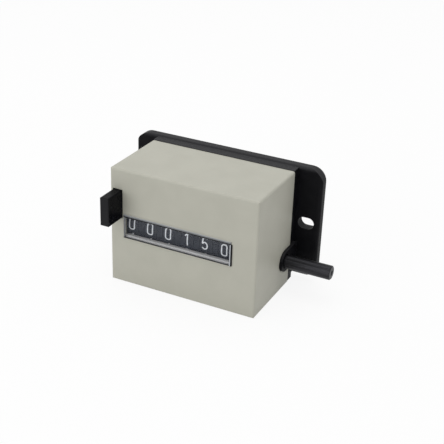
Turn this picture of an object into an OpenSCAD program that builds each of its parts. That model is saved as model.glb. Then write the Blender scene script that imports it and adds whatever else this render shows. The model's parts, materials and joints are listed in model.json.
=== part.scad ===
// Mechanical panel counter: six number wheels, a drive shaft and a reset key, in millimetres.
// The origin is the middle of the flange's rear face, halfway between its two slots.
// +X is to the right seen from the front, +Y goes into the panel and +Z is up.

/* [Housing] */
// Wall of the housing
housing_wall = 1.6; // [1.4:0.1:1.8]
// Radius of the housing's outer edges
housing_edge_r = 0.75; // [0.4:0.05:1.4]
// How far the housing's centre lies below the flange's centre
housing_drop = 1.45; // [0:0.05:2]
// Free width between the left frame plate and the housing's wall, for the key's tongue
key_room = 1.8; // [1.7:0.1:2.4]
// Free width between the right frame plate and the housing's wall, for the shaft's boss
shaft_room = 4.9; // [4.4:0.1:6]
// Free height between the drive gear and the housing's floor
gear_room = 1.3; // [0.6:0.05:2]

/* [Base] */
// Width of the flange
flange_w = 72.4; // [70:0.2:80]
// Height of the flange
flange_h = 40.7; // [40:0.1:44]
// Thickness of the flange
flange_t = 3.6; // [3:0.1:4]
// Corner radius of the flange
flange_r = 5; // [3:0.5:7]
// Radius of the flange's front edges
flange_edge_r = 1.2; // [0.4:0.1:1.6]
// Depth of the block that shows between the flange and the housing
block_d = 3.6; // [3:0.1:4.5]
// How far the block's sides stand back from the housing's sides
block_inset_x = 1.3; // [1.2:0.05:1.5]
// How far the block's bottom stands back from the housing's
block_inset_z = 0.4; // [0.2:0.1:1]
// How far the block's top stands above the housing's
block_rise = 0.15; // [0:0.05:0.3]
// Wall of the block
block_wall = 1.8; // [1.4:0.1:1.9]
// Distance between the centres of the two slots
slot_spacing = 62.7; // [61.5:0.1:64]
// Width of a slot, for an M4 screw
slot_w = 4.3; // [3.4:0.1:4.5]
// Length of a slot from end to end
slot_len = 5.9; // [5:0.1:6.2]
// Radius of the bearing boss around the shaft
boss_r = 3.8; // [3.4:0.05:4]
// How far the bearing boss stands out of the housing's side
boss_out = 1; // [0.4:0.1:1.6]

/* [Window] */
// Width of the window
window_w = 40.6; // [36:0.2:41]
// Height of the window
window_h = 8.3; // [7:0.1:9]
// Distance between the key and the window's left edge
window_key_bar = 0.6; // [0.4:0.1:1]
// How far the wheels stand behind the housing's front
window_recess = 2.2; // [2.1:0.1:3]
// Thickness of the lens
lens_t = 1.2; // [0.9:0.1:1.6]
// How far the lens stands out of the housing's front
lens_out = 0.35; // [0.2:0.05:0.5]

/* [Reset key] */
// Height of the key
key_h = 10.3; // [8:0.1:11]
// How far the key's centre lies above the wheels' axis
key_lift = 8.55; // [8:0.05:9]
// How far the key stands out of the front
key_out = 8.5; // [6:0.1:10]
// Travel of the key
key_travel = 3.5; // [3:0.1:4]
// How far the key's left side lies from the housing's left side
key_inset = 1.2; // [0.9:0.1:1.6]

/* [Drive] */
// Diameter of the drive shaft
shaft_d = 5; // [4:0.1:5.2]
// How far the shaft stands out of the housing's side
shaft_out = 17.65; // [12:0.05:22]
// Free depth between the drive gear and the flange
gear_back_room = 0.25; // [0.2:0.05:1.5]
// How far the shaft's axis lies below the wheels' axis
shaft_drop = 10.2; // [10:0.05:11]
// Teeth of the drive gear and of the units gear
gear_teeth = 31; // [30:1:32]
// Module of the drive gear and of the units gear
gear_module = 0.5; // [0.48:0.01:0.52]
// Width of the drive gear and of the units gear
gear_w = 1.6; // [1.2:0.1:2]

/* [Number wheels] */
// Diameter of a number wheel
wheel_d = 19; // [18:0.1:19.6]
// Distance from one number wheel to the next
wheel_pitch = 7.1; // [6.9:0.05:7.4]
// Width of a wheel's carry gear
carry_gear_w = 0.9; // [0.8:0.05:1]
// Width of a wheel's carry ring
carry_ring_w = 0.7; // [0.6:0.05:0.8]
// Width of the gap between two wheels that a hammer enters
hammer_gap = 0.9; // [0.8:0.05:1]
// Diameter of the wheels' axle
axle_d = 2; // [1.6:0.1:2.4]
// Diameter of the pinions' axle
pinion_axle_d = 1.6; // [1.2:0.1:1.8]

/* [Reset rocker] */
// Largest radius of a heart cam
cam_r_max = 5; // [4.4:0.1:5.2]
// Smallest radius of a heart cam
cam_r_min = 2.9; // [2.8:0.1:3.4]
// Angle through which the key turns the rocker
rocker_angle = 20; // [18:0.5:22]
// Diameter of the rocker's shaft
rocker_d = 3; // [2.4:0.1:3]

/* [Frame] */
// Thickness of the frame plates
plate_t = 1; // [0.8:0.1:1.2]
// Diameter of the tie bars
tie_bar_d = 3; // [2.4:0.1:3.4]
// Diameter of the frame screws
screw_d = 2.4; // [2:0.1:2.5]

/* [Hidden] */
$fn = 64;

// Clearances: running fit on a radius, fixed fit on a radius, and free air between pieces
run_gap = 0.05;
fit_gap = 0.02;
air = 0.3;

// Number of wheels, and the digit that each shows, the units first
wheel_count = 6;
shown_digits = [0, 5, 1, 0, 0, 0];
digit_angle = 36;

// Heart cams, drums and the gaps at the ends of the row
cam_t = 0.5;
hub_r = 2.4;
rim_t = 1.9;
web_t = 1.2;
end_gap = 0.45;
drum_w = wheel_pitch - carry_gear_w - carry_ring_w - hammer_gap;
row_w = (wheel_count - 1) * wheel_pitch;

// Width of the housing: the row of wheels, the gear at its right and the rooms at both sides
train_w = row_w + drum_w + gear_w + cam_t + 2 * end_gap + 2 * plate_t;
housing_w = train_w + key_room + shaft_room + 2 * housing_wall;
left_wall = -housing_w / 2 + housing_wall;
right_side = housing_w / 2;
plate_left_x = left_wall + key_room;
row_left = plate_left_x + plate_t + end_gap;
first_wheel_x = row_left + drum_w / 2 + row_w;
units_gear_x = first_wheel_x + drum_w / 2;
plate_right_x = units_gear_x + gear_w + cam_t + end_gap;

// Axes of the wheels and of the shaft: the two gears are equal and mesh on the line between them
gear_r = gear_teeth * gear_module / 2;
gear_tip_r = gear_r + 0.9 * gear_module;
wheel_z = -housing_drop;
shaft_y = -flange_t - gear_tip_r - gear_back_room;
shaft_z = wheel_z - shaft_drop;
wheel_y = shaft_y - sqrt(pow(2 * gear_r, 2) - pow(shaft_drop, 2));
wheel_r = wheel_d / 2;
mesh_angle = atan2(wheel_z - shaft_z, wheel_y - shaft_y);

// Housing around the train
housing_h = 2 * (shaft_drop + gear_tip_r + gear_room + housing_wall);
front_y = wheel_y - wheel_r - window_recess;
front_wall_y = front_y + housing_wall;
block_y = -flange_t - block_d;
window_z = wheel_z + 0.2;
shelf_t = 1;
lens_edge_r = 0.3;

// Base
block_w = housing_w - 2 * block_inset_x;
block_z0 = wheel_z - housing_h / 2 + block_inset_z;
block_z1 = wheel_z + housing_h / 2 + block_rise;
pocket_w = block_w - 2 * block_wall;
pocket_rib = flange_edge_r + 0.5;
pocket_z0 = max(block_z0 + block_wall, -flange_h / 2 + pocket_rib);
pocket_z1 = min(block_z1 - block_wall, flange_h / 2 - pocket_rib);
tongue_w = 28;
tongue_d = 4;
tongue_t = 1.4;
tongue_gap = 0.1;
snap_h = 0.5;
snap_d = 1.2;
boss_x = plate_right_x + plate_t + 1.2;
boss_end_x = right_side + boss_out;
slot_cut_r = boss_r + 0.1;

// Carry gears and pinions: twenty teeth drive eight, and the pinions lie below the wheels
carry_teeth = 20;
pinion_teeth = 8;
carry_step = 0.6;
carry_addendum = 0.5;
pinion_addendum = 0.75;
carry_module = (wheel_r - carry_step) / (carry_teeth / 2 + carry_addendum);
pinion_r = pinion_teeth * carry_module / 2;
pinion_tip_r = pinion_r + pinion_addendum * carry_module;
pinion_drop = (carry_teeth + pinion_teeth) * carry_module / 2;
pinion_z = wheel_z - pinion_drop;
pinion_sleeve_r = 1.5;
carry_ring_r = wheel_r - 0.5;
lock_tip_r = pinion_drop - carry_ring_r - air;
carry_backlash = 0.16;
gear_backlash = 0.1;

// Comb: strips level with the rims that close the gaps between the wheels, on a bar below the window
comb_t = 0.25;
comb_gap = 0.1;
comb_bar_r = 0.6;
comb_top = 180 - 34;
comb_foot = 180 + 55;
comb_bar_at = wheel_r + 0.15 + comb_bar_r;
comb_bar_y = wheel_y + comb_bar_at * cos(comb_foot);
comb_bar_z = wheel_z + comb_bar_at * sin(comb_foot);

// Reset rocker: at full press the hammers' edges lie on a line that just clears the heart cams
hammer_side = 70;
hammer_t = 0.4;
hammer_line_r = cam_r_max + air;
spring_wire_r = 0.25;
rocker_r = rocker_d / 2;
spring_r = rocker_r + spring_wire_r + air;
rocker_reach = wheel_r + spring_r + spring_wire_r + air;
hammer_len = sqrt(pow(rocker_reach, 2) - pow(hammer_line_r, 2));
rocker_y = wheel_y + hammer_line_r * cos(hammer_side) + hammer_len * sin(hammer_side);
rocker_z = wheel_z + hammer_line_r * sin(hammer_side) - hammer_len * cos(hammer_side);
arm_drop = key_travel / (rocker_angle * PI / 180);
arm_lead = 4;
arm_tip_r = 1.2;
rocker_eye_r = rocker_r + 1.5;

// Reset key and its tongue, which runs beside the left plate
key_x0 = -housing_w / 2 + key_inset;
key_x1 = row_left - 0.25;
window_x = key_x1 + window_key_bar + window_w / 2;
key_z0 = wheel_z + key_lift - key_h / 2;
key_z1 = key_z0 + key_h;
key_gap = 0.15;
key_stop = 1.2;
key_stop_y = front_wall_y + 0.2;
key_back_y = key_stop_y + 1.6;
key_tongue_t = 1.2;
key_tongue_x = plate_left_x - 0.2 - key_tongue_t;
tongue_end_y = rocker_y - arm_lead - 0.2;
tongue_end_z = rocker_z - arm_drop;
tongue_top_y = key_stop_y + 4;
tongue_top_z = key_z1 - 2;
tongue_end_up = 1.5;
tongue_end_down = 2.5;
stud_r = 1;

// Frame plates
plate_front_y = wheel_y - wheel_r + 1.2;
plate_cut_y = key_back_y + key_travel + 0.8;
plate_step_z = key_z0 - key_stop - air;
tie_upper_y = plate_cut_y + tie_bar_d / 2 + 0.7;
tie_upper_z = wheel_z + wheel_r + 4.5;
tie_lower_y = plate_front_y + tie_bar_d / 2 + 0.7;
tie_lower_z = pinion_z - 1.3;
tie_end_r = 1;
plate_top_z = tie_upper_z + tie_bar_d / 2 + 1;
plate_bottom_z = pinion_z - pinion_sleeve_r - 3;
foot_w = 3.2;
foot_h = 5;
foot_z = [wheel_z + 12, wheel_z - 2.8];
foot_left_x = plate_left_x + plate_t + foot_w / 2;
foot_right_x = plate_right_x + plate_t + foot_w / 2;
screw_r = screw_d / 2;
screw_head_r = screw_r + 1;
stud_y = plate_cut_y + stud_r + 1.1;
stud_slot_front = stud_y - key_travel - stud_r - 0.15;
stud_slot_rear = stud_y + stud_r + 0.15;

// Shaft, bush and ring
shaft_r = shaft_d / 2;
shaft_start_x = units_gear_x - 4;
shaft_end_x = right_side + shaft_out;
bush_r = shaft_r + 1;
bush_flange_t = 0.4;
ring_t = 0.6;
ring_x = plate_right_x + plate_t + 0.1;
ring_depth = 0.4;
gear_hub_r = shaft_r + 1.6;
gear_hub_x = units_gear_x - 3.6;
grub_r = 1;
centre_hole_r = 0.6;
neck_depth = 0.3;
neck_x0 = boss_end_x - 0.6;
neck_x1 = boss_end_x + 0.3;

// Place of a wheel along the row, counted from the units wheel
function wheel_x(n) = first_wheel_x - (n - 1) * wheel_pitch;

// Point at a radius and an angle
function polar(r, a) = [r * cos(a), r * sin(a)];

// Height on the straight line from point p to point q at the place y
function line_at(p, q, y) = p[1] + (q[1] - p[1]) * (y - p[0]) / (q[0] - p[0]);

// Involute angle in degrees at radius r on a base circle
function involute(r, base) = r <= base ? 0
    : let (a = acos(base / r)) tan(a) * 180 / PI - a;

// Half of a tooth's angle at radius r, for 20 degree teeth with the given backlash
function tooth_half(r, teeth, m, backlash) =
    let (pitch_r = teeth * m / 2, base = pitch_r * cos(20))
    90 / teeth - backlash / 2 / pitch_r * 180 / PI
    + involute(pitch_r, base) - involute(r, base);

// Outline of a spur gear with a tooth centred at the angle phase
function gear_points(teeth, m, addendum, dedendum, backlash, phase) =
    let (
        pitch_r = teeth * m / 2,
        radii = [pitch_r - dedendum * m, pitch_r, pitch_r + addendum * m / 2, pitch_r + addendum * m],
        last = len(radii) - 1
    )
    [
        for (i = [0 : teeth - 1])
            let (middle = phase + i * 360 / teeth)
            each concat(
                [for (r = radii) polar(r, middle - tooth_half(r, teeth, m, backlash))],
                [for (k = [last : -1 : 0])
                    polar(radii[k], middle + tooth_half(radii[k], teeth, m, backlash))]
            )
    ];

// Outline of a heart cam whose notch lies at the angle phase
function heart_points(phase) =
    [for (a = [0 : 10 : 350])
        polar(cam_r_min + (cam_r_max - cam_r_min) * (1 - abs(a - 180) / 180), a + phase)];

// Flat shape in the YZ plane, extruded from x0 to x1
module along_x(x0, x1) {
    translate([x0, 0, 0])
        rotate([90, 0, 90])
            linear_extrude(x1 - x0)
                children();
}

// Flat shape in the XZ plane, extruded from y0 to y1
module along_y(y0, y1) {
    translate([0, y1, 0])
        rotate([90, 0, 0])
            linear_extrude(y1 - y0)
                children();
}

// Round bar along X
module rod(x0, x1, r, y, z) {
    translate([x0, y, z])
        rotate([0, 90, 0])
            cylinder(h = x1 - x0, r = r);
}

// Flat ring or tube along X
module tube(x0, x1, r, bore, y, z) {
    difference() {
        rod(x0, x1, r, y, z);
        rod(x0 - 1, x1 + 1, bore, y, z);
    }
}

// Rectangle with round corners, centred
module rounded_rect(w, h, r) {
    square([w - 2 * r, h], center = true);
    square([w, h - 2 * r], center = true);
    for (sx = [-1, 1], sz = [-1, 1])
        translate([sx * (w / 2 - r), sz * (h / 2 - r)])
            circle(r);
}

// Rectangle from a to b whose corners on its low side are round
module front_rounded(w, from, to, r) {
    translate([-w / 2, from + r])
        square([w, to - from - r]);
    translate([-w / 2 + r, from])
        square([w - 2 * r, 2 * r]);
    for (side = [-1, 1])
        translate([side * (w / 2 - r), from + r])
            circle(r);
}

// Slot with round ends along the first axis, centred
module slot(length, width) {
    square([length - width, width], center = true);
    for (side = [-1, 1])
        translate([side * (length - width) / 2, 0])
            circle(width / 2);
}

// Block from one depth to another with round edges, open at its rear: three profiles, one across each axis
module front_rounded_block(w, h, from, to, r, corner_r = 0) {
    intersection() {
        along_y(from, to)
            rounded_rect(w, h, max(r, corner_r));
        translate([0, 0, -h / 2])
            linear_extrude(h)
                front_rounded(w, from, to, r);
        rotate([0, 90, 0])
            translate([0, 0, -w / 2])
                linear_extrude(w)
                    front_rounded(h, from, to, r);
    }
}

// Box between two corners
module box(low, high) {
    translate(low)
        cube(high - low);
}

// Shelf above or below the window, level with its edge, that reaches back to the wheels
module window_shelf(side) {
    edge = window_z + side * window_h / 2;
    rear = wheel_y - sqrt(pow(wheel_r, 2) - pow(edge - wheel_z, 2)) - air;
    box([window_x - window_w / 2, front_wall_y, min(edge, edge + side * shelf_t)],
        [window_x + window_w / 2, rear, max(edge, edge + side * shelf_t)]);
}

// Snap nose at the end of the base's tongue, or the groove for it, above or below
module snap(side, gap) {
    z = wheel_z + side * (housing_h / 2 - housing_wall - tongue_gap);
    translate([0, block_y - tongue_d + snap_d, z])
        cube([tongue_w - 4 + 2 * gap, snap_d + 2 * gap, 2 * (snap_h + gap)], center = true);
}

module housing() {
    color("#b4b5a8")
    difference() {
        union() {
            difference() {
                translate([0, 0, wheel_z])
                    front_rounded_block(housing_w, housing_h, front_y, block_y, housing_edge_r);
                box([left_wall, front_wall_y, wheel_z - housing_h / 2 + housing_wall],
                    [right_side - housing_wall, block_y + 1, wheel_z + housing_h / 2 - housing_wall]);
            }
            for (side = [-1, 1])
                window_shelf(side);
        }
        translate([window_x, front_y, window_z])
            cube([window_w, 2 * housing_wall, window_h], center = true);
        box([key_x0 - key_gap, front_y - 1, key_z0 - key_gap],
            [key_x1 + key_gap, front_wall_y + 0.5, key_z1 + key_gap]);
        box([key_x0 - key_gap, front_wall_y, key_z0 - key_stop - key_gap],
            [left_wall + 0.5, key_back_y + key_travel + key_gap, key_z1 + key_stop + key_gap]);
        rod(right_side - housing_wall - 1, right_side + 1, slot_cut_r, shaft_y, shaft_z);
        box([right_side - housing_wall - 1, shaft_y, shaft_z - slot_cut_r],
            [right_side + 1, block_y + 1, shaft_z + slot_cut_r]);
        for (side = [-1, 1])
            snap(side, 0.1);
    }
}

module window_lens() {
    color("#dfe6ea", 0.4)
    translate([window_x, 0, window_z])
        front_rounded_block(window_w - 2 * run_gap, window_h - 2 * run_gap,
            front_y - lens_out, front_y - lens_out + lens_t, lens_edge_r);
}

module base() {
    color("#17171a")
    difference() {
        union() {
            front_rounded_block(flange_w, flange_h, -flange_t, 0, flange_edge_r, flange_r);
            box([-block_w / 2 + housing_edge_r, -flange_t, -flange_h / 2],
                [block_w / 2 - housing_edge_r, flange_edge_r - flange_t, block_z1]);
            difference() {
                translate([0, 0, (block_z0 + block_z1) / 2])
                    along_y(block_y, -flange_t)
                        rounded_rect(block_w, block_z1 - block_z0, housing_edge_r);
                box([-pocket_w / 2, block_y - 1, pocket_z0], [pocket_w / 2, -flange_t, pocket_z1]);
            }
            for (side = [-1, 1]) {
                top = wheel_z + side * (housing_h / 2 - housing_wall - tongue_gap - tongue_t / 2);
                translate([0, (block_y - tongue_d - flange_t) / 2, top])
                    cube([tongue_w, tongue_d + block_d, tongue_t], center = true);
                snap(side, 0);
            }
            rod(boss_x, boss_end_x, boss_r, shaft_y, shaft_z);
            box([boss_x, shaft_y, shaft_z - boss_r], [boss_end_x, -flange_t, shaft_z + boss_r]);
        }
        rod(boss_x - 1, boss_end_x + 1, shaft_r + run_gap, shaft_y, shaft_z);
        for (side = [-1, 1])
            translate([side * slot_spacing / 2, 0, 0])
                along_y(-flange_t - 1, 1)
                    slot(slot_len, slot_w);
        for (x = [foot_left_x, foot_right_x], z = foot_z)
            translate([x, 0, z])
                frame_screw(run_gap);
    }
}

// One countersunk screw from the rear face into a plate's foot, grown by a gap
module frame_screw(gap) {
    rotate([90, 0, 0]) {
        translate([0, 0, gap > 0 ? -1 : 0.1])
            cylinder(h = flange_t + plate_t + 1.4, r = screw_r + gap);
        translate([0, 0, 0.1 - gap])
            cylinder(h = screw_head_r - screw_r, r1 = screw_head_r + gap, r2 = screw_r + gap);
    }
}

// The screws, each with a slot across its head
module frame_screws() {
    slot_half = 0.3;
    slot_depth = 0.5;
    color("#8c9095")
    for (x = [foot_left_x, foot_right_x], z = foot_z)
        translate([x, 0, z])
            difference() {
                frame_screw(0);
                box([-slot_half, -0.1 - slot_depth, -screw_head_r - 1], [slot_half, 1, screw_head_r + 1]);
            }
}

// Outline of both frame plates: the step at the front leaves room for the key
module plate_outline() {
    polygon([
        [-flange_t, plate_bottom_z],
        [plate_front_y, plate_bottom_z],
        [plate_front_y, plate_step_z - 3],
        [plate_cut_y, plate_step_z],
        [plate_cut_y, plate_top_z],
        [-flange_t, plate_top_z]
    ]);
}

// Frame plate from x0, with its feet bent to the side that foot_x lies on
module frame_plate(x0, foot_x) {
    difference() {
        union() {
            along_x(x0, x0 + plate_t)
                plate_outline();
            for (z = foot_z)
                box([min(x0, foot_x - foot_w / 2), -flange_t - plate_t, z - foot_h / 2],
                    [max(x0 + plate_t, foot_x + foot_w / 2), -flange_t, z + foot_h / 2]);
        }
        rod(x0 - 1, x0 + plate_t + 1, axle_d / 2 + fit_gap, wheel_y, wheel_z);
        rod(x0 - 1, x0 + plate_t + 1, pinion_axle_d / 2 + fit_gap, wheel_y, pinion_z);
        rod(x0 - 1, x0 + plate_t + 1, rocker_r + run_gap, rocker_y, rocker_z);
        rod(x0 - 1, x0 + plate_t + 1, comb_bar_r + fit_gap, comb_bar_y, comb_bar_z);
        rod(x0 - 1, x0 + plate_t + 1, tie_end_r + fit_gap, tie_upper_y, tie_upper_z);
        rod(x0 - 1, x0 + plate_t + 1, tie_end_r + fit_gap, tie_lower_y, tie_lower_z);
        for (z = foot_z)
            translate([foot_x, 0, z])
                frame_screw(fit_gap);
    }
}

module frame_plate_left() {
    color("#a9adb0")
    difference() {
        frame_plate(plate_left_x, foot_left_x);
        rod(plate_left_x - 1, plate_left_x + plate_t + 1, stud_r / 2 + fit_gap, stud_y, stud_z());
    }
}

module frame_plate_right() {
    color("#a9adb0")
    difference() {
        frame_plate(plate_right_x, foot_right_x);
        rod(plate_right_x - 1, plate_right_x + plate_t + 1, bush_r + fit_gap, shaft_y, shaft_z);
    }
}

// Bar between the plates, with a thinner end riveted in each
module tie_bar(y, z) {
    rod(plate_left_x + plate_t, plate_right_x, tie_bar_d / 2, y, z);
    rod(plate_left_x, plate_right_x + plate_t, tie_end_r, y, z);
}

module tie_bar_upper() {
    color("#a9adb0")
    tie_bar(tie_upper_y, tie_upper_z);
}

module tie_bar_lower() {
    color("#a9adb0")
    tie_bar(tie_lower_y, tie_lower_z);
}

module drive_shaft() {
    chamfer = 0.3;
    ring_gap = 0.05;
    color("#2b2b2d")
    translate([0, shaft_y, shaft_z])
    rotate([0, 90, 0])
    difference() {
        rotate_extrude()
            polygon([
                [0, shaft_start_x],
                [shaft_r - chamfer, shaft_start_x],
                [shaft_r, shaft_start_x + chamfer],
                [shaft_r, ring_x - ring_gap],
                [shaft_r - ring_depth, ring_x - ring_gap],
                [shaft_r - ring_depth, ring_x + ring_t + ring_gap],
                [shaft_r, ring_x + ring_t + ring_gap],
                [shaft_r, neck_x0],
                [shaft_r - neck_depth, neck_x0],
                [shaft_r - neck_depth, neck_x1],
                [shaft_r, neck_x1],
                [shaft_r, shaft_end_x - chamfer],
                [shaft_r - chamfer, shaft_end_x],
                [0, shaft_end_x]
            ]);
        translate([0, 0, shaft_end_x - 1.6])
            cylinder(h = 2, r = centre_hole_r);
        translate([0, 0, shaft_end_x - centre_hole_r])
            cylinder(h = 1, r1 = centre_hole_r, r2 = centre_hole_r + 0.5);
    }
}

module shaft_bush() {
    color("#b08d4f")
    difference() {
        union() {
            rod(plate_right_x, plate_right_x + plate_t, bush_r, shaft_y, shaft_z);
            rod(plate_right_x - bush_flange_t, plate_right_x, bush_r + 1, shaft_y, shaft_z);
        }
        rod(plate_right_x - 2, plate_right_x + plate_t + 1, shaft_r + run_gap, shaft_y, shaft_z);
    }
}

// Retaining ring with an open side, seated in the shaft's groove
module shaft_ring() {
    inner = shaft_r - ring_depth + fit_gap;
    color("#8c9095")
    difference() {
        tube(ring_x, ring_x + ring_t, shaft_r + 1.4, inner, shaft_y, shaft_z);
        box([ring_x - 1, shaft_y - inner * 0.8, shaft_z],
            [ring_x + 2, shaft_y + inner * 0.8, shaft_z + 9]);
    }
}

module drive_gear() {
    color("#c2a35a")
    difference() {
        union() {
            translate([0, shaft_y, shaft_z])
                along_x(units_gear_x, units_gear_x + gear_w)
                    polygon(gear_points(gear_teeth, gear_module, 0.9, 1.2, gear_backlash, mesh_angle));
            rod(gear_hub_x, units_gear_x, gear_hub_r, shaft_y, shaft_z);
        }
        rod(gear_hub_x - 1, units_gear_x + gear_w + 1, shaft_r + fit_gap, shaft_y, shaft_z);
        translate([(gear_hub_x + units_gear_x) / 2, shaft_y, shaft_z])
            rotate([-90, 0, 0])
                cylinder(h = gear_hub_r + 1, r = grub_r + fit_gap);
    }
}

module drive_gear_screw() {
    socket_r = 0.5;
    color("#3a3a3c")
    translate([(gear_hub_x + units_gear_x) / 2, shaft_y + shaft_r + fit_gap, shaft_z])
        rotate([-90, 0, 0])
            difference() {
                cylinder(h = gear_hub_r - shaft_r - 0.2, r = grub_r);
                translate([0, 0, gear_hub_r - shaft_r - 1])
                    cylinder(h = 2, r = socket_r, $fn = 6);
            }
}

module wheel_axle() {
    color("#a9adb0")
    rod(plate_left_x, plate_right_x + plate_t + 0.9, axle_d / 2, wheel_y, wheel_z);
}

module pinion_axle() {
    color("#a9adb0")
    rod(plate_left_x, plate_right_x + plate_t + 0.9, pinion_axle_d / 2, wheel_y, pinion_z);
}

module axle_rings() {
    x0 = plate_right_x + plate_t;
    color("#8c9095") {
        tube(x0, x0 + ring_t, axle_d / 2 + 1, axle_d / 2 + fit_gap, wheel_y, wheel_z);
        tube(x0, x0 + ring_t, pinion_axle_d / 2 + 1, pinion_axle_d / 2 + fit_gap, wheel_y, pinion_z);
    }
}

// Sleeves that fill the pinion axle between the plates and the first and last pinion
module pinion_spacers() {
    gap = 0.1;
    left = plate_left_x + plate_t;
    color("#a9adb0") {
        tube(left, pinion_x0(wheel_count - 1) - gap, pinion_sleeve_r,
            pinion_axle_d / 2 + fit_gap, wheel_y, pinion_z);
        tube(pinion_x0(1) + wheel_pitch, plate_right_x, pinion_sleeve_r,
            pinion_axle_d / 2 + fit_gap, wheel_y, pinion_z);
    }
}

// One strip of the comb, in the YZ plane about the wheels' axis, with its foot on the bar
module comb_strip() {
    middle = (comb_top + comb_foot) / 2;
    far = 2 * wheel_r;
    difference() {
        circle(wheel_r);
        circle(wheel_r - comb_t);
        polygon([[0, 0], polar(far, comb_foot), polar(far, comb_foot + 60), polar(far, middle + 180),
            polar(far, comb_top - 60), polar(far, comb_top)]);
    }
    rotate(comb_foot)
        translate([wheel_r - comb_t, -comb_bar_r])
            square([comb_bar_at - wheel_r + comb_t, comb_bar_r]);
}

module wheel_comb() {
    color("#3b414d") {
        rod(plate_left_x, plate_right_x + plate_t, comb_bar_r, comb_bar_y, comb_bar_z);
        translate([0, wheel_y, wheel_z])
            for (n = [1 : wheel_count - 1])
                along_x(wheel_x(n + 1) + drum_w / 2 + comb_gap, wheel_x(n) - drum_w / 2 - comb_gap)
                    comb_strip();
    }
}

// Start of a pinion's sleeve: pinion n carries from wheel n to the wheel at its left
function pinion_x0(n) = wheel_x(n + 1);

// Pinion: eight teeth on the carry gear, then four short locking teeth beside the carry ring
module transfer_pinion(n) {
    gap = 0.1;
    gear_x = wheel_x(n + 1) + drum_w / 2 + 0.15;
    ring_x0 = wheel_x(n) - drum_w / 2 - carry_ring_w;
    lock_w = 0.8;
    color("#d9d6c8")
    difference() {
        union() {
            rod(pinion_x0(n), pinion_x0(n) + wheel_pitch - gap, pinion_sleeve_r, wheel_y, pinion_z);
            translate([0, wheel_y, pinion_z]) {
                along_x(gear_x, ring_x0 - 0.15)
                    polygon(gear_points(pinion_teeth, carry_module, pinion_addendum, 0.9,
                        carry_backlash, 90));
                along_x(ring_x0 - 0.15, ring_x0 + carry_ring_w - 0.2)
                    for (a = [0, 90])
                        rotate(a)
                            square([2 * lock_tip_r, lock_w], center = true);
            }
        }
        rod(pinion_x0(n) - 1, pinion_x0(n) + wheel_pitch + 1, pinion_axle_d / 2 + run_gap,
            wheel_y, pinion_z);
    }
}

module transfer_pinion_1() { transfer_pinion(1); }
module transfer_pinion_2() { transfer_pinion(2); }
module transfer_pinion_3() { transfer_pinion(3); }
module transfer_pinion_4() { transfer_pinion(4); }
module transfer_pinion_5() { transfer_pinion(5); }

// Number wheel about its own axis, with the digit 0 in front: rim, web and hub turned as one
module wheel_body(n) {
    half = drum_w / 2;
    last = n == wheel_count;
    hub_left = last ? -half - end_gap + 0.1 : -half - carry_ring_w - hammer_gap + cam_t + 0.1;
    rim_in = wheel_r - rim_t;
    rotate([0, 90, 0])
        rotate_extrude()
            polygon(concat(
                [[0, hub_left], [hub_r, hub_left], [hub_r, half - web_t], [rim_in, half - web_t]],
                last ? [[rim_in, -half]]
                    : [[rim_in, -half - carry_ring_w], [carry_ring_r, -half - carry_ring_w],
                        [carry_ring_r, -half]],
                [[wheel_r, -half], [wheel_r, half], [0, half]]
            ));
}

// What stands at a wheel's right: the units wheel's plain hub, or a carry gear and a heart cam
module wheel_right_side(n) {
    start = drum_w / 2 - web_t / 2;
    gear_end = drum_w / 2 + carry_gear_w;
    if (n == 1) {
        rod(start, drum_w / 2 + gear_w, hub_r, 0, 0);
    } else {
        along_x(start, gear_end)
            polygon(gear_points(carry_teeth, carry_module, carry_addendum, 1, carry_backlash,
                270 + 180 / carry_teeth));
        along_x(start, gear_end + cam_t)
            polygon(heart_points(hammer_side));
    }
}

// Three notches in the carry ring, which leave the two teeth that carry one digit
module carry_notches() {
    half = drum_w / 2;
    notch_r = 0.9;
    tooth_angle = 360 / carry_teeth;
    for (k = [-1, 0, 1])
        rotate([270 - digit_angle / 2 + k * tooth_angle, 0, 0])
            rod(-half - carry_ring_w - 1, -half, notch_r, carry_ring_r, 0);
}

module digit_wheel(n) {
    color("#3b414d")
    translate([wheel_x(n), wheel_y, wheel_z])
        rotate([-digit_angle * shown_digits[n - 1], 0, 0])
            difference() {
                union() {
                    wheel_body(n);
                    wheel_right_side(n);
                }
                rod(-wheel_pitch, wheel_pitch, axle_d / 2 + run_gap, 0, 0);
                if (n < wheel_count)
                    carry_notches();
            }
}

module digit_wheel_1() { digit_wheel(1); }
module digit_wheel_2() { digit_wheel(2); }
module digit_wheel_3() { digit_wheel(3); }
module digit_wheel_4() { digit_wheel(4); }
module digit_wheel_5() { digit_wheel(5); }
module digit_wheel_6() { digit_wheel(6); }

// Gear and heart cam pressed on the units wheel's hub, in mesh with the drive gear
module units_gear() {
    color("#c2a35a")
    translate([0, wheel_y, wheel_z])
    difference() {
        union() {
            along_x(units_gear_x, units_gear_x + gear_w)
                polygon(gear_points(gear_teeth, gear_module, 0.9, 1.2, gear_backlash,
                    mesh_angle + 180 + 180 / gear_teeth));
            along_x(units_gear_x + gear_w, units_gear_x + gear_w + cam_t)
                polygon(heart_points(hammer_side - digit_angle * shown_digits[0]));
            rod(units_gear_x + gear_w, plate_right_x - 0.1, axle_d / 2 + 1, 0, 0);
        }
        rod(units_gear_x - 1, units_gear_x + gear_w, hub_r + fit_gap, 0, 0);
        rod(units_gear_x, plate_right_x + 1, axle_d / 2 + run_gap, 0, 0);
    }
}

// Height of the key's guide stud: midway between the tongue's edges at the ends of its slot
function stud_z() =
    (line_at([tongue_top_y, tongue_top_z], [tongue_end_y, tongue_end_z + tongue_end_up], stud_slot_rear)
    + line_at([key_stop_y, key_z0], [tongue_end_y, tongue_end_z - tongue_end_down], stud_slot_front)) / 2;

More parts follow.
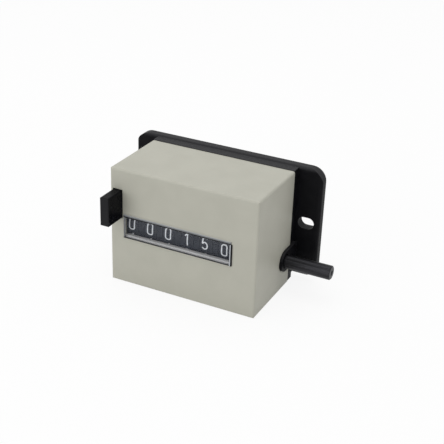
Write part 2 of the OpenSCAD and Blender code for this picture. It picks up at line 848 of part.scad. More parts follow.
module reset_key() {
    key_edge_r = 0.4;
    color("#141416")
    difference() {
        union() {
            translate([(key_x0 + key_x1) / 2, 0, (key_z0 + key_z1) / 2])
                front_rounded_block(key_x1 - key_x0, key_h, front_y - key_out, key_back_y, key_edge_r);
            box([key_x0, key_stop_y, key_z0 - key_stop], [key_x1, key_back_y, key_z1 + key_stop]);
            along_x(key_tongue_x, key_tongue_x + key_tongue_t)
                polygon([
                    [key_stop_y, tongue_top_z],
                    [tongue_top_y, tongue_top_z],
                    [tongue_end_y, tongue_end_z + tongue_end_up],
                    [tongue_end_y, tongue_end_z - tongue_end_down],
                    [key_stop_y, key_z0]
                ]);
        }
        translate([0, (stud_slot_front + stud_slot_rear) / 2, stud_z()])
            along_x(key_tongue_x - 1, key_tongue_x + key_tongue_t + 0.1)
                slot(stud_slot_rear - stud_slot_front, 2 * stud_r + 0.2);
    }
}

module key_stud() {
    color("#a9adb0") {
        rod(key_tongue_x - 0.1, plate_left_x, stud_r, stud_y, stud_z());
        rod(plate_left_x, plate_left_x + plate_t, stud_r / 2, stud_y, stud_z());
    }
}

module reset_shaft() {
    color("#a9adb0")
    rod(key_tongue_x, plate_right_x + plate_t, rocker_r, rocker_y, rocker_z);
}

// Hammer in the gap beside a wheel: its straight lower edge meets the heart cam
module reset_hammer(x) {
    tip = hammer_len + 1.2;
    translate([0, rocker_y, rocker_z])
        along_x(x, x + hammer_t)
            difference() {
                union() {
                    circle(rocker_eye_r);
                    rotate(90 + hammer_side - rocker_angle)
                        mirror([0, 1])
                            polygon([[0, 0], [tip, 0], [tip, 1.4], [tip - 2.2, 2.2], [0, 2.6]]);
                }
                circle(rocker_r + fit_gap);
            }
}

// Place of the hammer for wheel n, in the plane of its heart cam
function hammer_x(n) =
    wheel_x(n) + drum_w / 2 + (n == 1 ? gear_w : carry_gear_w) + 0.1;

module reset_hammers() {
    color("#a9adb0")
    for (n = [1 : wheel_count])
        reset_hammer(hammer_x(n));
}

// Arm at the rocker's left end, which the key's tongue pushes to the rear
module reset_arm() {
    arm_half = 1;
    tip = [arm_tip_r - arm_lead, -arm_drop];
    lean = atan2(tip[1], tip[0]);
    color("#a9adb0")
    translate([0, rocker_y, rocker_z])
        along_x(key_tongue_x, key_tongue_x + key_tongue_t)
            difference() {
                union() {
                    circle(rocker_eye_r);
                    translate(tip)
                        circle(arm_tip_r);
                    rotate(lean)
                        translate([0, -arm_half])
                            square([norm(tip), 2 * arm_half]);
                }
                circle(rocker_r + fit_gap);
            }
}

// Torsion spring on the rocker's shaft: one leg on the base, the other under a hammer
spring_turns = 4;
spring_steps = 60;
spring_sides = 6;
spring_pitch = 0.65;
spring_hammer = 4;
spring_leg = [rocker_eye_r + spring_wire_r + 0.15, spring_wire_r + 0.05];
spring_start = 270;
spring_end = 90 + hammer_side - rocker_angle
    + atan2(spring_leg[1], spring_leg[0]) + acos(spring_r / norm(spring_leg));
spring_sweep = 360 * spring_turns + spring_start - spring_end;
spring_w = spring_pitch * spring_sweep / 360;
spring_x = hammer_x(spring_hammer) - spring_w - spring_wire_r - 0.1;
spring_leg_angle = 90 + hammer_side - rocker_angle + atan2(spring_leg[1], spring_leg[0]);
spring_leg_end = polar(norm(spring_leg), spring_leg_angle);
spring_hook_end = spring_leg_end + polar(0.1, spring_end - 90);

// Point of the coil's centre line after a number of steps
function coil_point(i) =
    let (a = spring_start - i * spring_sweep / spring_steps)
    [spring_x + spring_w * i / spring_steps, rocker_y + spring_r * cos(a), rocker_z + spring_r * sin(a)];

// Centre line: the fixed leg from the base, the coil, and the moving leg that crosses under the hammer
spring_path = concat(
    [[spring_x, -flange_t - spring_wire_r - 0.05, rocker_z - spring_r]],
    [for (i = [0 : spring_steps]) coil_point(i)],
    [
        [spring_x + spring_w, rocker_y + spring_leg_end[0], rocker_z + spring_leg_end[1]],
        [spring_x + spring_w + 1.2, rocker_y + spring_hook_end[0], rocker_z + spring_hook_end[1]]
    ]
);

// Ring of points around the wire at a place of the path, square to its direction
function wire_ring(path, i) =
    let (
        before = path[max(i - 1, 0)],
        after = path[min(i + 1, len(path) - 1)],
        along = (after - before) / norm(after - before),
        side = cross(along, [1, 0, 0]) / norm(cross(along, [1, 0, 0])),
        out = cross(along, side)
    )
    [for (k = [0 : spring_sides - 1])
        let (a = k * 360 / spring_sides)
        path[i] + spring_wire_r * (cos(a) * side + sin(a) * out)];

module reset_spring() {
    rings = len(spring_path);
    points = [for (i = [0 : rings - 1]) each wire_ring(spring_path, i)];
    start_cap = [for (k = [0 : spring_sides - 1]) k];
    end_cap = [for (k = [spring_sides - 1 : -1 : 0]) (rings - 1) * spring_sides + k];
    walls = [for (i = [0 : rings - 2], k = [0 : spring_sides - 1])
        let (next = (k + 1) % spring_sides)
        [i * spring_sides + next, i * spring_sides + k,
            (i + 1) * spring_sides + k, (i + 1) * spring_sides + next]];
    color("#8c9095")
    polyhedron(points, concat([start_cap], walls, [end_cap]));
}

housing();
window_lens();
base();
reset_key();
key_stud();
frame_plate_left();
frame_plate_right();
tie_bar_upper();
tie_bar_lower();
frame_screws();
drive_shaft();
shaft_bush();
shaft_ring();
drive_gear();
drive_gear_screw();
wheel_axle();
pinion_axle();
axle_rings();
pinion_spacers();
wheel_comb();
units_gear();
digit_wheel_1();
digit_wheel_2();
digit_wheel_3();
digit_wheel_4();
digit_wheel_5();
digit_wheel_6();
transfer_pinion_1();
transfer_pinion_2();
transfer_pinion_3();
transfer_pinion_4();
transfer_pinion_5();
reset_shaft();
reset_hammers();
reset_arm();
reset_spring();
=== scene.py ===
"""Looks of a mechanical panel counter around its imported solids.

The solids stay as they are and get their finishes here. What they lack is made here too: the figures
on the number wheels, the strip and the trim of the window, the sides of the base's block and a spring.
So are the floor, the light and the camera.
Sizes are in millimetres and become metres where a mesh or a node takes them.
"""

import json
import logging
import math
from dataclasses import dataclass, field
from enum import Enum

import bpy
import numpy as np
from mathutils import Matrix, Vector


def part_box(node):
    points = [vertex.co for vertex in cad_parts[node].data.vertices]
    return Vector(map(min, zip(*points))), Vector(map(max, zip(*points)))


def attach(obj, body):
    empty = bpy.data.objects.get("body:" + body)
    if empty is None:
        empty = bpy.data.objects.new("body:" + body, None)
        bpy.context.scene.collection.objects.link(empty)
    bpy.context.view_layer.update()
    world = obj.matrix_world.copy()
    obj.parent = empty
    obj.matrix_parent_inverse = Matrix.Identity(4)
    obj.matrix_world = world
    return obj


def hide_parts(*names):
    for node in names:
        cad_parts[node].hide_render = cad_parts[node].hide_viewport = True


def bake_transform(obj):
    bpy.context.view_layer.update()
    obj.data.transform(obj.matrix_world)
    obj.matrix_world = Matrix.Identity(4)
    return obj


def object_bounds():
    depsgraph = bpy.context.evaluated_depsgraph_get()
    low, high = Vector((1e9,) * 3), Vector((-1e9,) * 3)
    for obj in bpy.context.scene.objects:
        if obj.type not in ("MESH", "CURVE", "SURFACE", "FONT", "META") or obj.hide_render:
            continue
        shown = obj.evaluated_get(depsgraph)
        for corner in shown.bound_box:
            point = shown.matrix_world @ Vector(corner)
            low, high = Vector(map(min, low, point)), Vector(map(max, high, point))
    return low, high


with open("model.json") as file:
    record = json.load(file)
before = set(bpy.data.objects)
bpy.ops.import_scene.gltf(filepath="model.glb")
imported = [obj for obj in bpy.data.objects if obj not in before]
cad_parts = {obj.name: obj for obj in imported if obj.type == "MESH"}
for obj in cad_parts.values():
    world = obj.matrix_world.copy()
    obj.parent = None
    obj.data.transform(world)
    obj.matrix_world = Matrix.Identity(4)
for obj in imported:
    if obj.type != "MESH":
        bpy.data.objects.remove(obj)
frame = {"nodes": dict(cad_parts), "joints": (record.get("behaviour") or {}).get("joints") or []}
CAD_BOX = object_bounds()

MM = 0.001
WHITE = (1.0, 1.0, 1.0, 1.0)
log = logging.getLogger("counter")

# Sockets of the mix node when it mixes colours.
SHARE, FIRST, SECOND, MIXED = 0, 6, 7, 2

# What the range nodes read. Noise: from one shade to the other, and from the least gloss to the most.
PATCH_SPAN = {"From Min": 0.35, "From Max": 0.65}
GRAIN_SPAN = {"From Min": 0.3, "From Max": 0.7}
# Cosines: from a flat face to a worn edge, from a bare face to one with a film and painted light, and from
# the face of the pane to its cut edge.
EDGE_SPAN = {"From Min": 0.995, "From Max": 0.75}
FILM_AND_LIGHT_SPAN = {"From Min": 0.2, "From Max": 0.8}
PANE_SPAN = {"From Min": 0.998, "From Max": 0.985}
# Lean of a cut edge away from the middle of the pane: from the inside of the edge, painted light, to its
# outside, painted dark.
PAINTED_DARK_SPAN = {"From Min": 0.05, "From Max": 0.2}

# Points on the figures' full bowls, quarter turns, stems, slants and stubs, and on a bar's round edge.
BOWL, TURN, STEM, SLANT, STUB, ROUND = 49, 13, 15, 13, 3, 7
# Least cosine of half a turn at which a stroke's mitre still grows.
MITRE_LIMIT = 0.45
# Gap below which two points of a stroke are one.
SAME_POINT = 1e-6


def linear(hex_code: str) -> tuple[float, float, float, float]:
    """Turn an sRGB hex colour into linear light.

    Args:
        hex_code: Six hex digits after a hash sign.

    Returns:
        Red, green and blue in linear light, and an alpha of one.
    """
    srgb = np.array([int(hex_code[i:i + 2], 16) for i in (1, 3, 5)]) / 255
    low, high = srgb / 12.92, ((srgb + 0.055) / 1.055) ** 2.4
    return (*np.where(srgb <= 0.04045, low, high).tolist(), 1.0)


def add_node(tree: bpy.types.NodeTree, kind: str, sockets: dict | None = None,
             **settings) -> bpy.types.Node:
    """Add a node with its settings, and fill its inputs.

    Args:
        tree: Node tree that takes the node.
        kind: Blender's name for the node type.
        sockets: Input name or number to a value, or to the output that is linked to it.
        settings: Properties of the node.

    Returns:
        The new node.
    """
    item = tree.nodes.new(kind)
    for key, value in settings.items():
        setattr(item, key, value)
    for key, value in (sockets or {}).items():
        if isinstance(value, bpy.types.NodeSocket):
            tree.links.new(value, item.inputs[key])
        else:
            item.inputs[key].default_value = value
    return item


def new_material(name: str) -> tuple[bpy.types.Material, bpy.types.NodeTree, bpy.types.Node]:
    """Make an empty node material.

    Args:
        name: Name of the material.

    Returns:
        The material, its node tree and its output node.
    """
    material = bpy.data.materials.new(name)
    material.use_nodes = True
    tree = material.node_tree
    tree.nodes.clear()
    return material, tree, add_node(tree, "ShaderNodeOutputMaterial")


class Lay(Enum):
    """Direction in which a surface was drawn or rolled: the pattern's squeeze along each axis."""

    EVEN = (1.0, 1.0, 1.0)
    ALONG_X = (0.03, 1.0, 1.0)
    ALONG_Z = (1.0, 1.0, 0.06)


@dataclass(frozen=True)
class Finish:
    """A solid's surface: two shades in soft patches, a grain in the gloss, worn edges, film and painted
    light.

    The patches and the grain are noise in object space at their sizes in millimetres. The edges are found
    where the normal of a slightly rounded copy of the surface leaves the true normal. The film lies where
    the surface faces one side: dust with a painted sheen of the light above on top, painted light on a
    key's front, and a painted highlight on the top of the lens's lip.
    """

    name: str
    shade: str
    patch_shade: str
    edge_shade: str
    patch_mm: float
    grain_mm: float
    grain_depth_mm: float
    roughness: float
    roughness_spread: float
    metallic: float = 0.0
    ior: float = 1.5
    specular: float = 0.5
    edge_mm: float = 0.2
    edge_wear: float = 0.35
    lay: Lay = Lay.EVEN
    # A shade laid on the faces that turn to one side: as dust with a painted sheen, as painted light and as
    # a painted highlight, finish by finish.
    film: float = 0.0
    film_shade: str = "#4A4A4C"
    film_side: tuple[float, float, float] = (0.0, 0.0, 1.0)

    def build(self) -> bpy.types.Material:
        """Make the node material.

        Returns:
            The material.
        """
        material, tree, output = new_material(self.name)
        place = add_node(tree, "ShaderNodeTexCoord").outputs["Object"]
        if self.lay is not Lay.EVEN:
            squeezed = add_node(tree, "ShaderNodeMapping", {"Vector": place, "Scale": self.lay.value})
            place = squeezed.outputs[0]
        patches = add_node(tree, "ShaderNodeTexNoise",
                           {"Vector": place, "Scale": 1 / (self.patch_mm * MM), "Detail": 4.0})
        grain = add_node(tree, "ShaderNodeTexNoise",
                         {"Vector": place, "Scale": 1 / (self.grain_mm * MM), "Detail": 2.0})
        patch_share = add_node(tree, "ShaderNodeMapRange", {"Value": patches.outputs[0], **PATCH_SPAN})
        tint = add_node(tree, "ShaderNodeMix",
                        {SHARE: patch_share.outputs[0], FIRST: linear(self.shade),
                         SECOND: linear(self.patch_shade)}, data_type="RGBA")
        rounded = add_node(tree, "ShaderNodeBevel", {"Radius": self.edge_mm * MM}, samples=4)
        true_normal = add_node(tree, "ShaderNodeNewGeometry").outputs["Normal"]
        bend = add_node(tree, "ShaderNodeVectorMath", {0: rounded.outputs[0], 1: true_normal},
                        operation="DOT_PRODUCT")
        wear = add_node(tree, "ShaderNodeMapRange",
                        {"Value": bend.outputs["Value"], **EDGE_SPAN,
                         "To Min": 0.0, "To Max": self.edge_wear})
        colour = add_node(tree, "ShaderNodeMix",
                          {SHARE: wear.outputs[0], FIRST: tint.outputs[MIXED],
                           SECOND: linear(self.edge_shade)}, data_type="RGBA")
        # Painted light: a lighter shade on the faces that turn to one side, dust with a painted sheen on
        # the phenolic's tops, painted light on the key's front and a painted highlight on the lip's top.
        if self.film > 0:
            own_normal = add_node(tree, "ShaderNodeTexCoord").outputs["Normal"]
            facing = add_node(tree, "ShaderNodeVectorMath", {0: own_normal, 1: self.film_side},
                              operation="DOT_PRODUCT")
            film_and_light_share = add_node(tree, "ShaderNodeMapRange",
                               {"Value": facing.outputs["Value"], **FILM_AND_LIGHT_SPAN,
                                "To Min": 0.0, "To Max": self.film})
            colour = add_node(tree, "ShaderNodeMix",
                              {SHARE: film_and_light_share.outputs[0], FIRST: colour.outputs[MIXED],
                               SECOND: linear(self.film_shade)}, data_type="RGBA")
        gloss = add_node(tree, "ShaderNodeMapRange",
                         {"Value": grain.outputs[0], **GRAIN_SPAN,
                          "To Min": self.roughness - self.roughness_spread,
                          "To Max": self.roughness + self.roughness_spread})
        bump = add_node(tree, "ShaderNodeBump",
                        {"Height": grain.outputs[0], "Distance": self.grain_depth_mm * MM,
                         "Normal": rounded.outputs[0]})
        shader = add_node(tree, "ShaderNodeBsdfPrincipled",
                          {"Base Color": colour.outputs[MIXED], "Roughness": gloss.outputs[0],
                           "Normal": bump.outputs[0], "Metallic": self.metallic, "IOR": self.ior,
                           "Specular IOR Level": self.specular})
        tree.links.new(shader.outputs[0], output.inputs["Surface"])
        return material


@dataclass(frozen=True)
class ClearPane:
    """A clear sheet that faces the front: a faint reflection, fine wipe marks and milky cut edges.

    The edges are where the normal leaves the front's direction, so they need no second material. From
    outside they are painted dark, a painted shade for the dark recess that they would show, and through
    the sheet they are painted light, a painted glow for the light that it pipes. The normal is turned to
    the side that is seen, so it points away from the sheet's middle outside and towards it inside.
    """

    name: str
    node: str
    shade: str
    painted_dark_shade: str
    cover: float
    edge_cover: float
    roughness: float
    ior: float
    haze_mm: float

    def build(self) -> bpy.types.Material:
        """Make the node material.

        Returns:
            The material.
        """
        material, tree, output = new_material(self.name)
        place = add_node(tree, "ShaderNodeTexCoord").outputs["Object"]
        stretched = add_node(tree, "ShaderNodeMapping", {"Vector": place, "Scale": Lay.ALONG_X.value})
        haze = add_node(tree, "ShaderNodeTexNoise",
                        {"Vector": stretched.outputs[0], "Scale": 1 / (self.haze_mm * MM), "Detail": 3.0})
        gloss = add_node(tree, "ShaderNodeMapRange",
                         {"Value": haze.outputs[0], **GRAIN_SPAN,
                          "To Min": self.roughness, "To Max": 2 * self.roughness})
        normal = add_node(tree, "ShaderNodeTexCoord").outputs["Normal"]
        facing = add_node(tree, "ShaderNodeVectorMath", {0: normal, 1: (0, 1, 0)}, operation="DOT_PRODUCT")
        square = add_node(tree, "ShaderNodeMath", {0: facing.outputs["Value"]}, operation="ABSOLUTE")
        cover = add_node(tree, "ShaderNodeMapRange",
                         {"Value": square.outputs[0], **PANE_SPAN,
                          "To Min": self.cover, "To Max": self.edge_cover})
        # Painted shade and glow: edges whose normal points away from the middle are painted dark, the rest
        # light.
        low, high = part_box(self.node)
        reach = ((high.x - low.x) / 2, 1.0, (high.z - low.z) / 2)
        from_middle = add_node(tree, "ShaderNodeMapping",
                               {"Vector": place, "Location": (low + high) / 2, "Scale": reach},
                               vector_type="TEXTURE")
        outwards = add_node(tree, "ShaderNodeVectorMath", {0: normal, 1: from_middle.outputs[0]},
                            operation="DOT_PRODUCT")
        painted_dark_share = add_node(tree, "ShaderNodeMapRange", {"Value": outwards.outputs["Value"], **PAINTED_DARK_SPAN})
        tint = add_node(tree, "ShaderNodeMix",
                        {SHARE: painted_dark_share.outputs[0], FIRST: linear(self.shade),
                         SECOND: linear(self.painted_dark_shade)}, data_type="RGBA")
        shader = add_node(tree, "ShaderNodeBsdfPrincipled",
                          {"Base Color": tint.outputs[MIXED], "Alpha": cover.outputs[0], "IOR": self.ior,
                           "Roughness": gloss.outputs[0]})
        tree.links.new(shader.outputs[0], output.inputs["Surface"])
        return material


# ABS from a spark-eroded mould: dull pebble grey, with a fine grain that keeps highlights soft.
# The grain is about 0.1 mm on the real one and is drawn at 0.45 mm to show.
PEBBLE_GREY_ABS = Finish("abs_moulded_pebble_grey", "#B1B0A4", "#ADACA0", "#BBBBB0", patch_mm=9,
                         grain_mm=0.45, grain_depth_mm=0.02, roughness=0.52, roughness_spread=0.07,
                         ior=1.53, edge_mm=0.25)
# ABS, moulded and left undyed: pale neutral grey, dull.
PALE_ABS = Finish("abs_moulded_pale_grey", "#D2D2D2", "#CBCBCC", "#DCDCDC", patch_mm=4,
                  grain_mm=0.4, grain_depth_mm=0.015, roughness=0.5, roughness_spread=0.07,
                  ior=1.53, edge_mm=0.15)
# Phenolic, compression moulded: deep black with grey filler flecks, and on upward faces a grey that is dust
# and a painted sheen of the light above.
BLACK_PHENOLIC = Finish("phenolic_moulded_black", "#0D0D10", "#121215", "#2A2A2D", patch_mm=2.5,
                        grain_mm=0.35, grain_depth_mm=0.02, roughness=0.5, roughness_spread=0.1,
                        specular=0.08, edge_mm=0.3, film=0.3)
# ABS from a polished mould: black with a half gloss, worn edges and a painted light grey on the front,
# which makes it lighter than its side.
BLACK_KEY_ABS = Finish("abs_moulded_black_key", "#0D0D10", "#111114", "#242427", patch_mm=3,
                       grain_mm=0.5, grain_depth_mm=0.01, roughness=0.3, roughness_spread=0.08,
                       specular=0.04, edge_mm=0.2, film=0.8, film_shade="#2A2A2C",
                       film_side=(0.0, -1.0, 0.0))
# Steel, drawn and blackened: dark grey with streaks along the bar where the oxide is thin.
BLACKENED_STEEL = Finish("steel_drawn_blackened", "#18181B", "#36363A", "#4E4E50", patch_mm=0.8,
                         grain_mm=0.3, grain_depth_mm=0.008, roughness=0.42, roughness_spread=0.12,
                         metallic=0.75, edge_mm=0.15, lay=Lay.ALONG_X)
# Steel, rolled and zinc plated: pale bluish metal with the strip's rolling lines upwards.
ZINC_STEEL = Finish("steel_rolled_zinc_plated", "#B4B8BC", "#C3C2BC", "#D2D4D6", patch_mm=3,
                    grain_mm=0.35, grain_depth_mm=0.006, roughness=0.36, roughness_spread=0.1,
                    metallic=1.0, edge_mm=0.12, lay=Lay.ALONG_Z)
# Steel, turned bars and screws, zinc plated: brighter than the plates, with lines along the axle.
BRIGHT_STEEL = Finish("steel_turned_zinc_plated", "#A7ABB0", "#B9BBBD", "#D4D6D8", patch_mm=1.5,
                      grain_mm=0.25, grain_depth_mm=0.006, roughness=0.3, roughness_spread=0.08,
                      metallic=1.0, edge_mm=0.1, lay=Lay.ALONG_X)
# Steel wire, drawn and tempered: grey with a faint straw tint.
SPRING_STEEL = Finish("steel_wire_tempered", "#8B8C8E", "#9A968C", "#B5B6B8", patch_mm=0.8,
                      grain_mm=0.2, grain_depth_mm=0.004, roughness=0.32, roughness_spread=0.08,
                      metallic=1.0, edge_mm=0.05)
# Brass, milled: warm yellow with bright tooth edges and a light brown tarnish in patches.
MILLED_BRASS = Finish("brass_milled", "#C6A45E", "#AF8D4C", "#DCC183", patch_mm=2,
                      grain_mm=0.25, grain_depth_mm=0.006, roughness=0.33, roughness_spread=0.09,
                      metallic=1.0, edge_mm=0.1)
# Acetal, moulded and dyed: slate blue-grey, dense and slightly waxy.
SLATE_ACETAL = Finish("acetal_moulded_slate", "#2A2E37", "#2F333C", "#373C46", patch_mm=2.5,
                      grain_mm=0.3, grain_depth_mm=0.01, roughness=0.5, roughness_spread=0.07,
                      ior=1.48, specular=0.25, edge_mm=0.12)
# Acetal, moulded, undyed: milky off-white, slightly waxy.
NATURAL_ACETAL = Finish("acetal_moulded_natural", "#DCD9CC", "#D3CFC0", "#E6E3D8", patch_mm=2,
                        grain_mm=0.3, grain_depth_mm=0.008, roughness=0.4, roughness_spread=0.06,
                        ior=1.48, edge_mm=0.1)
# Ink, hot stamped: flat off-white that is a little thin in places.
STAMPED_INK = Finish("ink_hot_stamped_white", "#E2E5EA", "#D3D7DC", "#E2E5EA", patch_mm=0.7,
                     grain_mm=0.15, grain_depth_mm=0.004, roughness=0.6, roughness_spread=0.08,
                     edge_mm=0.02, edge_wear=0.0)
# Acrylic, cast and cut: clear, with a faint cool tint and fine wipe marks along the window. Its cut edges
# are painted dark outside, a painted shade, and light where seen through it, a painted glow.
CLEAR_ACRYLIC = ClearPane("acrylic_cast_clear", "window_lens", "#BDC0C6", "#1E1F23", cover=0.02,
                          edge_cover=0.85, roughness=0.06, ior=1.49, haze_mm=1.2)
# Acrylic, cast and cut: the lens's lip, painted grey for the light that it pipes away, with a painted
# highlight on top.
CUT_ACRYLIC = Finish("acrylic_cut_lip", "#74777A", "#6E7174", "#9A9DA0", patch_mm=2,
                     grain_mm=0.4, grain_depth_mm=0.01, roughness=0.35, roughness_spread=0.06,
                     ior=1.49, edge_mm=0.08, film=0.7, film_shade="#D6D8DA")
# Acrylic, cast and polished at the cut: painted pale grey, a painted highlight for the light that leaves
# the lens here.
EDGE_LIGHT_ACRYLIC = Finish("acrylic_edge_painted_light", "#B4B7BB", "#ACAFB3", "#C4C6C8", patch_mm=2,
                      grain_mm=0.4, grain_depth_mm=0.01, roughness=0.35, roughness_spread=0.06,
                      ior=1.49, edge_mm=0.08)


@dataclass
class Dresser:
    """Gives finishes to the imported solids, and builds each finish once."""

    nodes: dict[str, bpy.types.Object]
    built: dict[str, bpy.types.Material] = field(default_factory=dict)

    def material(self, finish: Finish | ClearPane) -> bpy.types.Material:
        """Return the finish's material, made at its first use."""
        if finish.name not in self.built:
            self.built[finish.name] = finish.build()
        return self.built[finish.name]

    def dress(self, finish: Finish | ClearPane, *names: str) -> None:
        """Put a finish on solids.

        Args:
            finish: The finish.
            names: Names of the solids' nodes.
        """
        for name in names:
            solid = self.nodes[name]
            for slot in solid.material_slots:
                slot.material = self.material(finish)
            log.info("%s: %s", name, finish.name)

    def loose_piece(self, name: str, points: np.ndarray, faces: np.ndarray | list,
                    finish: Finish) -> bpy.types.Object:
        """Make a new piece from points in millimetres, which nothing carries yet.

        Args:
            name: Name of the piece.
            points: Its points, one a row.
            faces: Numbers of the points of each face.
            finish: Its finish.

        Returns:
            The new piece.
        """
        mesh = bpy.data.meshes.new(name)
        mesh.from_pydata(points * MM, [], faces if isinstance(faces, list) else faces.tolist())
        mesh.materials.append(self.material(finish))
        piece = bpy.data.objects.new(name, mesh)
        bpy.context.scene.collection.objects.link(piece)
        log.info("%s: %d points", name, len(points))
        return piece

    def piece(self, name: str, points: np.ndarray, faces: np.ndarray | list, finish: Finish,
              body: str) -> bpy.types.Object:
        """Make a new piece from points in millimetres, and let it ride on a body.

        Args:
            name: Name of the piece.
            points: Its points, one a row.
            faces: Numbers of the points of each face.
            finish: Its finish.
            body: Name of the body that carries it.

        Returns:
            The new piece.
        """
        piece = self.loose_piece(name, points, faces, finish)
        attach(piece, body)
        return piece


@dataclass
class Enclosure:
    """What the hand touches: the grey housing with its lens, the black base and the reset key."""

    grey: tuple[str, ...] = ("housing",)
    clear: tuple[str, ...] = ("window_lens",)
    black: tuple[str, ...] = ("base",)
    keys: tuple[str, ...] = ("reset_key",)

    def dress(self, dresser: Dresser) -> None:
        """Give the moulded pieces their finishes."""
        dresser.dress(PEBBLE_GREY_ABS, *self.grey)
        dresser.dress(CLEAR_ACRYLIC, *self.clear)
        dresser.dress(BLACK_PHENOLIC, *self.black)
        dresser.dress(BLACK_KEY_ABS, *self.keys)


@dataclass
class DriveLine:
    """The shaft with its bush, ring and gear, and the gear that it drives."""

    blackened: tuple[str, ...] = ("drive_shaft", "drive_gear_screw")
    brass: tuple[str, ...] = ("shaft_bush", "drive_gear", "units_gear")
    spring: tuple[str, ...] = ("shaft_ring",)

    def dress(self, dresser: Dresser) -> None:
        """Give the drive's metals their finishes."""
        dresser.dress(BLACKENED_STEEL, *self.blackened)
        dresser.dress(MILLED_BRASS, *self.brass)
        dresser.dress(SPRING_STEEL, *self.spring)


@dataclass
class InnerFrame:
    """The plates, bars, axles and screws that hold the train, and the reset rocker."""

    plates: tuple[str, ...] = ("frame_plate_left", "frame_plate_right", "reset_hammers", "reset_arm")
    turned: tuple[str, ...] = ("tie_bar_upper", "tie_bar_lower", "frame_screws", "wheel_axle",
                               "pinion_axle", "pinion_spacers", "reset_shaft", "key_stud")
    sprung: tuple[str, ...] = ("axle_rings", "reset_spring")

    def dress(self, dresser: Dresser) -> None:
        """Give the steel pieces their finishes."""
        dresser.dress(ZINC_STEEL, *self.plates)
        dresser.dress(BRIGHT_STEEL, *self.turned)
        dresser.dress(SPRING_STEEL, *self.sprung)


def line(start: tuple[float, float], end: tuple[float, float], count: int = 9) -> np.ndarray:
    """Points on the straight line p(t) = start + t (end - start), with t from 0 to 1.

    Args:
        start: First point.
        end: Last point.
        count: Number of points.

    Returns:
        The points, one a row.
    """
    return np.linspace(start, end, count)


def arc(middle: tuple[float, float], radii: tuple[float, float], first: float, last: float,
        count: int = 25) -> np.ndarray:
    """Points on the ellipse p(a) = middle + (rx cos a, ry sin a), with a from first to last.

    Args:
        middle: Centre of the ellipse.
        radii: Its radii.
        first: First angle in degrees.
        last: Last angle in degrees.
        count: Number of points.

    Returns:
        The points, one a row.
    """
    angle = np.radians(np.linspace(first, last, count))[:, None]
    return np.array(middle) + np.array(radii) * np.hstack((np.cos(angle), np.sin(angle)))


def quarter(middle: tuple[float, float], radius: float, first: float, count: int = ROUND) -> np.ndarray:
    """Points on the quarter circle about a middle that turns left from the angle first, in degrees."""
    return arc(middle, (radius, radius), first, first + 90, count)


@dataclass(frozen=True)
class Stroke:
    """One pull of the pen: the middle line of a ribbon, open or joined to itself."""

    path: np.ndarray
    closed: bool = False

    def edges(self, half_width: float) -> tuple[np.ndarray, np.ndarray]:
        """Both edges of the ribbon, mitred at its corners.

        At each point the offset is along the mean of the two neighbouring normals, divided by the
        cosine of half the turn, so that both edges keep their distance from the middle line.

        Args:
            half_width: Half of the ribbon's width.

        Returns:
            The left and the right edge, one point a row.
        """
        ahead = np.roll(self.path, -1, axis=0) - self.path
        ahead /= np.linalg.norm(ahead, axis=1, keepdims=True)
        behind = np.roll(ahead, 1, axis=0)
        if not self.closed:
            ahead[-1], behind[0] = behind[-1], ahead[0]
        normal = np.stack((-(ahead + behind)[:, 1], (ahead + behind)[:, 0]), axis=1)
        normal /= np.linalg.norm(normal, axis=1, keepdims=True)
        square = np.stack((-ahead[:, 1], ahead[:, 0]), axis=1)
        reach = half_width / np.maximum(np.sum(normal * square, axis=1, keepdims=True), MITRE_LIMIT)
        return self.path + reach * normal, self.path - reach * normal


def ring(*parts: np.ndarray) -> Stroke:
    """Join parts to one closed stroke and drop the points that coincide."""
    path = np.vstack(parts)
    apart = np.linalg.norm(path - np.roll(path, 1, axis=0), axis=1) > SAME_POINT
    return Stroke(path[apart], closed=True)


def pull(*parts: np.ndarray) -> Stroke:
    """Join parts to one open stroke and drop the points that coincide."""
    path = np.vstack(parts)
    apart = np.linalg.norm(np.diff(path, axis=0), axis=1) > SAME_POINT
    return Stroke(path[np.concatenate(([True], apart))])


